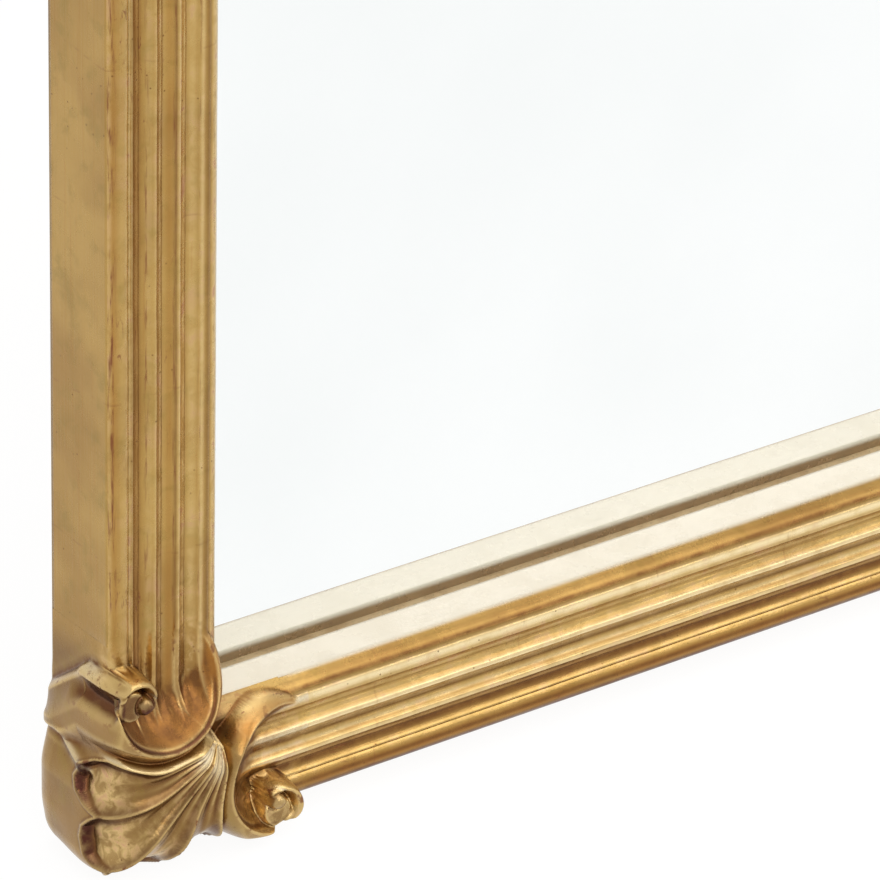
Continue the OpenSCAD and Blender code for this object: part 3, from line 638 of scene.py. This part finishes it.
def wood(name, light, dark, scale, rough=0.7):
    """Wood with its grain up and down"""
    m, tree = material(name)
    k = Net(tree)
    rings = k.noise(k.coords((1.0, 1.0, 0.06)), scale, 6.0, 0.62, 1.4)
    pores = k.noise(k.coords((600.0, 600.0, 14.0)), 1.0, 3.0, 0.6)
    colour = k.mix(k.ramp(rings, 0.35, 0.68), lin(*light), lin(*dark))
    colour = k.mix(k.ramp(pores, 0.52, 0.72, 0.0, 0.4), colour, lin(*[c * 0.6 for c in dark]))
    normal = k.bump(k.math("ADD", pores, k.math("MULTIPLY", rings, 0.4)), 0.3, 0.0004)
    k.principled(Base_Color=colour, Metallic=0.0, Normal=normal,
                 Roughness=k.ramp(pores, 0.3, 0.7, rough - 0.08, rough + 0.1))
    return m


def mirror_material():
    m, tree = material("mirror_silver")
    k = Net(tree)
    obj = k.coords()
    bloom = k.ramp(k.noise(obj, 3.0, 4.0, 0.5), 0.3, 0.8)
    colour = k.mix(bloom, lin(248, 250, 250), lin(240, 243, 243))
    rough = k.ramp(k.noise(obj, 40.0, 3.0), 0.4, 0.8, 0.008, 0.02)
    k.principled(Base_Color=colour, Metallic=1.0, Roughness=rough)
    return m


def card_material():
    m, tree = material("buffer_board")
    k = Net(tree)
    fibre = k.noise(k.coords(), 260.0, 6.0, 0.7)
    colour = k.mix(k.ramp(fibre, 0.35, 0.7), lin(186, 160, 124), lin(158, 130, 96))
    k.principled(Base_Color=colour, Metallic=0.0, Roughness=k.ramp(fibre, 0.3, 0.7, 0.82, 0.95),
                 Normal=k.bump(fibre, 0.3, 0.0003))
    return m


def felt_material():
    m, tree = material("bumper_felt")
    k = Net(tree)
    fibre = k.noise(k.coords(), 900.0, 6.0, 0.75, 1.0)
    colour = k.mix(k.ramp(fibre, 0.3, 0.7), lin(108, 86, 66), lin(66, 50, 38))
    k.principled(Base_Color=colour, Metallic=0.0, Roughness=k.ramp(fibre, 0.3, 0.7, 0.88, 1.0),
                 Normal=k.bump(fibre, 0.8, 0.0006), Sheen_Weight=0.4)
    return m


GILT = gilt("gilt_moulding", False)
GILT_CARVED = gilt("gilt_carving", True)


# ---- the four mitred members
FRONT, WALL, REST, BACK, OUTER = range(5)
SEAT_END = 59.6             # the seat stops just short of the sight edge
CUT_END = END - 2.55        # and here under the carving's end
UNDER = END - 0.1           # up to here the moulding keeps clear of the carving
SINK, TUCK = 0.08, 0.35     # by this much at its front, and by this much at its outer edge
TUCK_TO = -20.0             # down to this height
MOST = 1.4                  # the strongest that a tone gets


def profile():
    """The member's section: a closed run of points, with the kind of surface that each lies on"""
    front = np.concatenate([np.linspace(0.0, 2.0, 12, endpoint=False),
                            np.linspace(2.0, SIGHT, 168, endpoint=False),
                            np.linspace(SIGHT, 58.0, 20, endpoint=False),
                            SIGHT + (FACE - SIGHT) * np.sin(np.linspace(0.945, np.pi / 2, 12))])
    outer_w, inner_w = reeds(np.array([0.0, FACE]))
    runs = {
        FRONT: list(zip(front, reeds(front))),
        WALL: [(FACE, w) for w in np.linspace(inner_w, -LIP, 14)[1:]],
        REST: [(a, -LIP) for a in np.linspace(FACE, REBATE, 6)[1:]]
        + [(REBATE, w) for w in np.linspace(-LIP, -DEEP, 8)[1:]],
        BACK: [(a, -DEEP) for a in np.linspace(REBATE, 0.0, 14)[1:]],
        OUTER: [(0.0, w) for w in np.linspace(-DEEP, outer_w, 22)[1:]],
    }
    points = [point for run in runs.values() for point in run]
    return np.array(points), np.array([kind for kind, run in runs.items() for _ in run])


def curvature(p, n):
    """How far a closed run of points lies in (positive) or stands out (negative) beside its neighbours"""
    m = np.zeros_like(p)
    for d in range(-n, n + 1):
        m += np.roll(p, d, axis=0)
    m /= 2 * n + 1
    t = np.roll(p, -1, axis=0) - np.roll(p, 1, axis=0)
    nrm = np.stack([-t[:, 1], t[:, 0]], -1)
    nrm /= np.linalg.norm(nrm, axis=1, keepdims=True) + 1e-9
    return ((m - p) * nrm).sum(1)


def lines(x, *bands):
    """Soft lines across the profile, each given by its middle, half width and strength"""
    total = np.zeros_like(x)
    for mid, wide, much in bands:
        total = np.maximum(total, much * bell(x - mid, wide))
    return total


def tones(x, rail):
    """Strength of each tone at a distance x from the outer edge: painted shade (crev, dark), painted
    highlights (pale, shine), warm gold, rubbed crests and wear; the rails lie flatter to the light, so their
    painted light lies elsewhere
    """
    if rail:
        return {
            "crev": lines(x, (1.6, 1.9, 1.15), (6.0, 1.4, 0.85), (16.1, 2.0, 1.0), (18.4, 1.4, 0.2),
                          (25.2, 0.6, 0.5), (29.9, 1.6, 0.68), (37.4, 0.8, 0.35), (54.8, 1.5, 1.0),
                          (57.2, 2.2, 0.5)),
            "crest": lines(x, (1.2, 1.6, 0.8), (24.0, 0.8, 0.3), (40.4, 0.8, 0.3)),
            "warm": lines(x, (5.6, 2.6, 1.0), (16.6, 3.0, 0.7)),
            "pale": lines(x, (11.4, 2.0, 0.5), (22.0, 2.2, 1.2), (26.6, 1.6, 0.5), (33.2, 2.2, 1.4),
                          (36.4, 1.4, 0.8), (39.0, 1.2, 0.5), (45.4, 3.2, 0.85), (50.0, 2.2, 1.2)),
            "shine": lines(x, (22.6, 1.4, 0.4), (26.4, 0.8, 0.3), (33.8, 1.6, 1.2), (35.8, 1.0, 0.7),
                           (49.9, 1.6, 1.1)),
            "dark": lines(x, (0.6, 1.1, 0.7)),
            "wear": lines(x, (6.5, 4.0, 0.6), (17.0, 4.0, 0.8), (44.0, 3.0, 0.3))}
    return {
        "crev": lines(x, (12.6, 1.4, 0.2), (15.6, 2.6, 0.3), (34.0, 0.6, 0.6), (50.8, 1.3, 0.6)),
        "crest": lines(x, (1.2, 1.8, 0.9), (19.6, 0.7, 0.7), (33.6, 0.5, 0.8), (46.4, 0.5, 0.5)),
        "warm": lines(x, (1.8, 2.6, 0.45), (14.5, 3.0, 0.5), (31.6, 2.0, 0.4)),
        "shine": lines(x, (36.6, 0.9, 0.2), (47.4, 0.8, 0.15)),
        "pale": lines(x, (0.4, 1.0, 0.5), (6.6, 3.0, 0.25), (10.2, 1.8, 1.2), (20.6, 1.4, 0.35),
                      (25.4, 2.8, 0.85), (37.8, 2.4, 1.4), (43.6, 2.0, 0.6), (47.4, 1.2, 0.6),
                      (55.2, 2.0, 1.3)),
        "dark": lines(x, (11.7, 0.35, 0.35)),
        "wear": lines(x, (6.0, 4.0, 0.9), (16.0, 4.5, 1.0), (31.0, 3.0, 0.5))}


def sight_cream(x, rail):
    """How much of the sight edge's cream shows on the front, at a distance x from the outer edge"""
    return smooth(x, 59.0, 60.2) if rail else smooth(x, 55.6, 58.6)


def member_tones(prof, kind, rail):
    """The tones round the section: those of the front, cream on the wall, and shade in the rebate"""
    x, face = prof[:, 0], kind == FRONT
    attrs = {key: val * face for key, val in tones(x, rail).items()}
    # painted shade where the section lies in beside its neighbours
    attrs["crev"] = attrs["crev"] + np.clip(curvature(prof, 3) / 0.16, 0, 1) * 0.22 * face
    cream = np.where(kind == WALL, 1.0, 0.0) + np.where(face, sight_cream(x, rail), 0.0)
    cream = np.where(kind == REST, 0.5, cream)
    attrs.update(cream=cream, shade=np.where(kind == REST, 0.38, 0.0), plain=np.ones(len(prof)))
    return {key: np.clip(val, 0, MOST) for key, val in attrs.items()}


def member(name, node, length, place):
    """One member: its section run from mitre to mitre, and cut down under the carvings at its ends"""
    prof, kind = profile()
    n = len(prof)
    # rows close together where the carving ends, and about 5 mm apart between the carvings
    ends = np.array([0.0, 30.0, 61.0, 80.0, END - 2.6, END - 2.5, END - 1.4])
    between = np.linspace(END, length - END, int((length - 2 * END) / 5))
    s = np.concatenate([ends, between, length - ends[::-1]])
    a = prof[:, 0][None, :] + 0 * s[:, None]
    w = prof[:, 1][None, :] + 0 * s[:, None]
    v = np.clip(s[:, None] + 0 * a, a, length - a)
    near = np.minimum(v, length - v)
    hidden = near < CUT_END
    face = (kind == FRONT)[None, :]
    w = np.where(hidden & face & (a < SEAT_END), np.minimum(w, SEAT), w)
    front = face & ~hidden
    w = np.where(front & (near < UNDER), w - SINK, w)
    # the reeds wander and swell a little, as they do when they are run by hand
    wave = 0.10 * np.sin(v / 31.0 + 1.3) + 0.07 * np.sin(v / 11.7 + 0.4) + 0.05 * np.sin(v / 5.3 + a * 0.7)
    wave = wave * smooth(near, END, END + 23) * smooth(a, 0.2, 3) * smooth(a, FACE - 0.2, FACE - 4)
    w = np.where(front, w + wave, w)
    # under the carving the outer edge lies a little in, so that it never shows beside it
    a = np.where((near < UNDER) & (a < TUCK) & (w > TUCK_TO), TUCK, a)
    p = place(a, v, w)
    attrs = member_tones(prof, kind, "rail" in node)
    attrs = {key: np.tile(val, (len(s), 1)) for key, val in attrs.items()}
    # the rubbed marks, the painted dark lines and the streaks die out where the carving takes over
    run = smooth(np.minimum(s, length - s), END, END + 25)[:, None]
    for key in ("crest", "dark", "wear"):
        attrs[key] = attrs[key] * run
    attrs["run"] = run + 0 * attrs["dark"]
    attrs = {key: val.ravel() for key, val in attrs.items()}
    girth = np.cumsum(np.r_[0, np.linalg.norm(np.diff(prof, axis=0), axis=1)])
    uvs = np.stack([v, np.tile(girth, (len(s), 1))], -1) / 1000
    i, j = np.meshgrid(np.arange(len(s) - 1), np.arange(n), indexing="ij")
    j2 = (j + 1) % n
    faces = np.stack([i * n + j, i * n + j2, (i + 1) * n + j2, (i + 1) * n + j], -1).reshape(-1, 4)
    obj = new_object(name, (p / 1000).reshape(-1, 3), faces, attrs, GILT, uvs.reshape(-1, 2))
    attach(obj, "frame")
    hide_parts(node)


def in_frame(x, z, w):
    """Points at a height w forward of the frame's front plane"""
    return np.stack([x, FRONT_Y - w, z], -1)


member("left_stile_dressed", "left_stile", 2 * HALF_H, lambda a, v, w: in_frame(a - HALF_W, v - HALF_H, w))
member("right_stile_dressed", "right_stile", 2 * HALF_H, lambda a, v, w: in_frame(HALF_W - a, v - HALF_H, w))
member("bottom_rail_dressed", "bottom_rail", 2 * HALF_W, lambda a, v, w: in_frame(v - HALF_W, a - HALF_H, w))
member("top_rail_dressed", "top_rail", 2 * HALF_W, lambda a, v, w: in_frame(v - HALF_W, HALF_H - a, w))

# ---- the four carved corners
HALF_COLUMNS, FRONT_ROWS, SIDE_ROWS = 170, 210, 44
CORNER, PAINT = corner_grid(HALF_COLUMNS, FRONT_ROWS, SIDE_ROWS)


def relief_tones(q):
    """Painted shade in what lies in beside its neighbours, and crests on what stands out, rubbed to bole
    and, on the carving, given a painted highlight
    """
    nrm = grid_normals(q)
    nrm *= np.where(nrm[..., 2:3].mean() > 0, 1, -1)
    fine = ((box_blur(q, 2) - q) * nrm).sum(-1)
    wide = ((box_blur(q, 7) - q) * nrm).sum(-1)
    crev = np.clip(fine / 0.14, 0, 1) * 0.75 + np.clip(wide / 0.9, 0, 1) * 0.45
    return crev, np.clip(-fine / 0.14, 0, 1) * 0.8


def corner_tones(q):
    """The carving's tones, which pass into the moulding's where the carving flattens out into it"""
    u, v, w = q[..., 0], q[..., 1], q[..., 2]
    across, along = np.minimum(u, v), np.maximum(u, v)
    on_stile = u < v
    keep = smooth(along, END - 0.2, END - 5)
    crev, crest = relief_tones(q)
    cream = np.where(on_stile, sight_cream(u, False), sight_cream(v, True))
    cream = cream * smooth(w, -12, -8) * smooth(along, 96, 106)
    # the volute on the rail's side is paler: less painted shade and more painted pale highlight
    curl = smooth(np.hypot(across - EYE[0], along - EYE[1]), 24, 12) * (u > v)
    less = 1 - 0.6 * curl
    # painted shade in the hollows, below the ledge and in the bowl
    attrs = {"crev": crev * keep * less + PAINT["under"] * (1 - 0.9 * curl), "crest": crest * keep,
             "cream": cream, "shade": 0 * crev, "wear": 0 * crev}
    attrs.update({key: PAINT[key] * keep for key in ("warm", "dark", "pale", "shine")})
    attrs["dark"] = attrs["dark"] * less
    attrs["warm"] = attrs["warm"] * less
    attrs["pale"] = attrs["pale"] + 0.8 * curl
    above = w - reeds(np.clip(across, 0, FACE))
    plain = smooth(along, 66, 84) * smooth(above, 1.6, 0.3) * PAINT["top"]
    stile, rail = tones(across, False), tones(across, True)
    for key in stile:
        val = np.where(on_stile, stile[key], rail[key])
        if key in ("crest", "dark", "wear"):
            val = val * smooth(along, END, END - 11)
        attrs[key] = attrs[key] * (1 - 0.7 * plain) + val * plain
    attrs["plain"] = np.maximum(plain, smooth(along, 86, 106))
    return {key: np.clip(val, 0, MOST) for key, val in attrs.items()}


CORNER_TONES = corner_tones(CORNER)


def corner(name, node, sx, sz):
    """One carving, at the frame's corner on the side sx across and sz up"""
    m, n = CORNER.shape[:2]
    u, v, w = CORNER[..., 0], CORNER[..., 1], CORNER[..., 2]
    p = in_frame(sx * (HALF_W - u), sz * (HALF_H - v), w)
    uvs = np.stack([np.maximum(u, v), np.minimum(u, v)], -1) / 1000
    faces = grid_faces(m, n, flip=(sx * sz > 0))
    obj = new_object(name, (p / 1000).reshape(-1, 3), faces, CORNER_TONES, GILT_CARVED, uvs.reshape(-1, 2))
    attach(obj, "frame")
    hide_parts(node)


corner("carving_bottom_left", "ornament_bottom_left", -1, -1)
corner("carving_bottom_right", "ornament_bottom_right", 1, -1)
corner("carving_top_left", "ornament_top_left", -1, 1)
corner("carving_top_right", "ornament_top_right", 1, 1)

# ---- materials for the CAD nodes that stay
BRASS = plain_metal("dull_brass", (196, 166, 104), (150, 118, 66), 0.34)
STEEL = plain_metal("zinc_plate", (206, 208, 206), (166, 168, 166), 0.36)
SLIP = wood("slip_toned", (226, 198, 154), (200, 168, 124), 40.0, rough=0.5)
PINE = wood("spline_pine", (206, 176, 130), (176, 140, 94), 30.0)
PLY = wood("back_plywood", (190, 152, 106), (150, 112, 72), 22.0)
DRESS = {"mirror_glass": mirror_material(), "buffer_sheet": card_material(), "wall_bumpers": felt_material(),
         "mitre_splines": PINE, "backing_board": PLY, "corner_plates": STEEL}


def look_of(node):
    """A CAD node's material, or None for a node that a dressed piece replaces"""
    if node.endswith("_slip"):
        return SLIP
    if node.endswith("_screws"):
        return STEEL
    if node.startswith(("button_", "hanger_")):
        return BRASS
    return DRESS.get(node)


def dress(node, mat):
    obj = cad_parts[node]
    if not obj.data.materials:
        obj.data.materials.append(mat)
    for i in range(len(obj.data.materials)):
        obj.data.materials[i] = mat


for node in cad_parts:
    if look_of(node):
        dress(node, look_of(node))

# ---- floor, light and camera, in metres
WHITE = (1, 1, 1)


def seen_directly(k):
    """1 for the camera, for mirrors and for glass, and 0 for the light itself"""
    path = k.node("ShaderNodeLightPath")
    seen = k.math("MAXIMUM", path.outputs["Is Camera Ray"], path.outputs["Is Glossy Ray"])
    return k.math("MAXIMUM", seen, path.outputs["Is Transmission Ray"])


def blend_out(k, share, first, second, output):
    """Sends the second shader's share, and the rest of the first one, to the output node"""
    pick = k.node("ShaderNodeMixShader")
    k.put(pick.inputs[0], share)
    k.put(pick.inputs[1], first.outputs[0])
    k.put(pick.inputs[2], second.outputs[0])
    k.put(k.node(output).inputs["Surface"], pick.outputs[0])


# the world looks white, but lights the object at a plain level
world = bpy.data.worlds.new("studio")
bpy.context.scene.world = world
world.use_nodes = True
world.node_tree.nodes.clear()
k = Net(world.node_tree)
blend_out(k, seen_directly(k), k.shader("ShaderNodeBackground", WHITE, 0.4),
          k.shader("ShaderNodeBackground", WHITE, 1.0), "ShaderNodeOutputWorld")

# the floor looks nearly white, and keeps the object's shadow
floor_z = -(HALF_H + FLOOR_DROP) / 1000
floor_corners = [(x, y, floor_z) for x, y in ((-6, -6), (6, -6), (6, 6), (-6, 6))]
floor = new_object("floor", floor_corners, [[0, 1, 2, 3]])
m, tree = material("floor_pale")
k = Net(tree)
pale = k.shader("ShaderNodeBsdfDiffuse", lin(232, 230, 226))
glow = k.shader("ShaderNodeEmission", WHITE, 1.1)
blend_out(k, k.math("MULTIPLY", seen_directly(k), 0.85), pale, glow, "ShaderNodeOutputMaterial")
floor.data.materials.append(m)


def matrix_at(x, y, z, where):
    """The matrix of an object with these axes, at this place"""
    return Matrix([(x[i], y[i], z[i], where[i]) for i in range(3)] + [(0, 0, 0, 1)])


def lamp(name, where, target, size, power):
    data = bpy.data.lights.new(name, "AREA")
    data.shape = "RECTANGLE"
    data.size, data.size_y = size
    data.energy = power
    obj = bpy.data.objects.new(name, data)
    bpy.context.scene.collection.objects.link(obj)
    z = np.array(where, float) - np.array(target, float)
    z /= np.linalg.norm(z)
    x = np.cross([0, 0, 1.0], z)
    x /= np.linalg.norm(x)
    obj.matrix_world = matrix_at(x, np.cross(z, x), z, where)


lamp("top", (0.1, -0.5, 2.6), (-0.2, -0.06, -0.7), (3.4, 2.6), 38)
lamp("window", (1.15, -1.75, 0.75), (-0.2, -0.06, -0.7), (1.2, 1.8), 11)
lamp("front", (-1.3, -2.4, 1.4), (-0.2, -0.06, -0.6), (1.5, 1.5), 15)

# the camera's directions were fitted to the straight edges of the stile and the rail
IMAGE_PX, FOCAL_PX, SENSOR = 880.0, 6700.0, 36.0
CAMERA_RIGHT, CAMERA_AHEAD = (0.80781, -0.58909, 0.02067), (0.53121, 0.71235, -0.45866)
# where it sees the frame's lower left front corner: how far right, down and ahead
ARRIS_RIGHT, ARRIS_DOWN, ARRIS_AHEAD = -0.14682, 0.18743, 2.99193
cam = bpy.data.cameras.new("camera")
cam.sensor_width = SENSOR
cam.lens = SENSOR * FOCAL_PX / IMAGE_PX
cam.clip_start, cam.clip_end = 0.1, 100.0
camera = bpy.data.objects.new("camera", cam)
bpy.context.scene.collection.objects.link(camera)
right, ahead = np.array(CAMERA_RIGHT), np.array(CAMERA_AHEAD)
right /= np.linalg.norm(right)
ahead -= right * (ahead @ right)
ahead /= np.linalg.norm(ahead)
down = np.cross(ahead, right)
arris = np.array([-HALF_W, FRONT_Y, -HALF_H]) / 1000
eye = arris - (ARRIS_RIGHT * right + ARRIS_DOWN * down + ARRIS_AHEAD * ahead)
camera.matrix_world = matrix_at(right, -down, -ahead, eye)
bpy.context.scene.camera = camera
bpy.context.scene.view_settings.view_transform = "Standard"
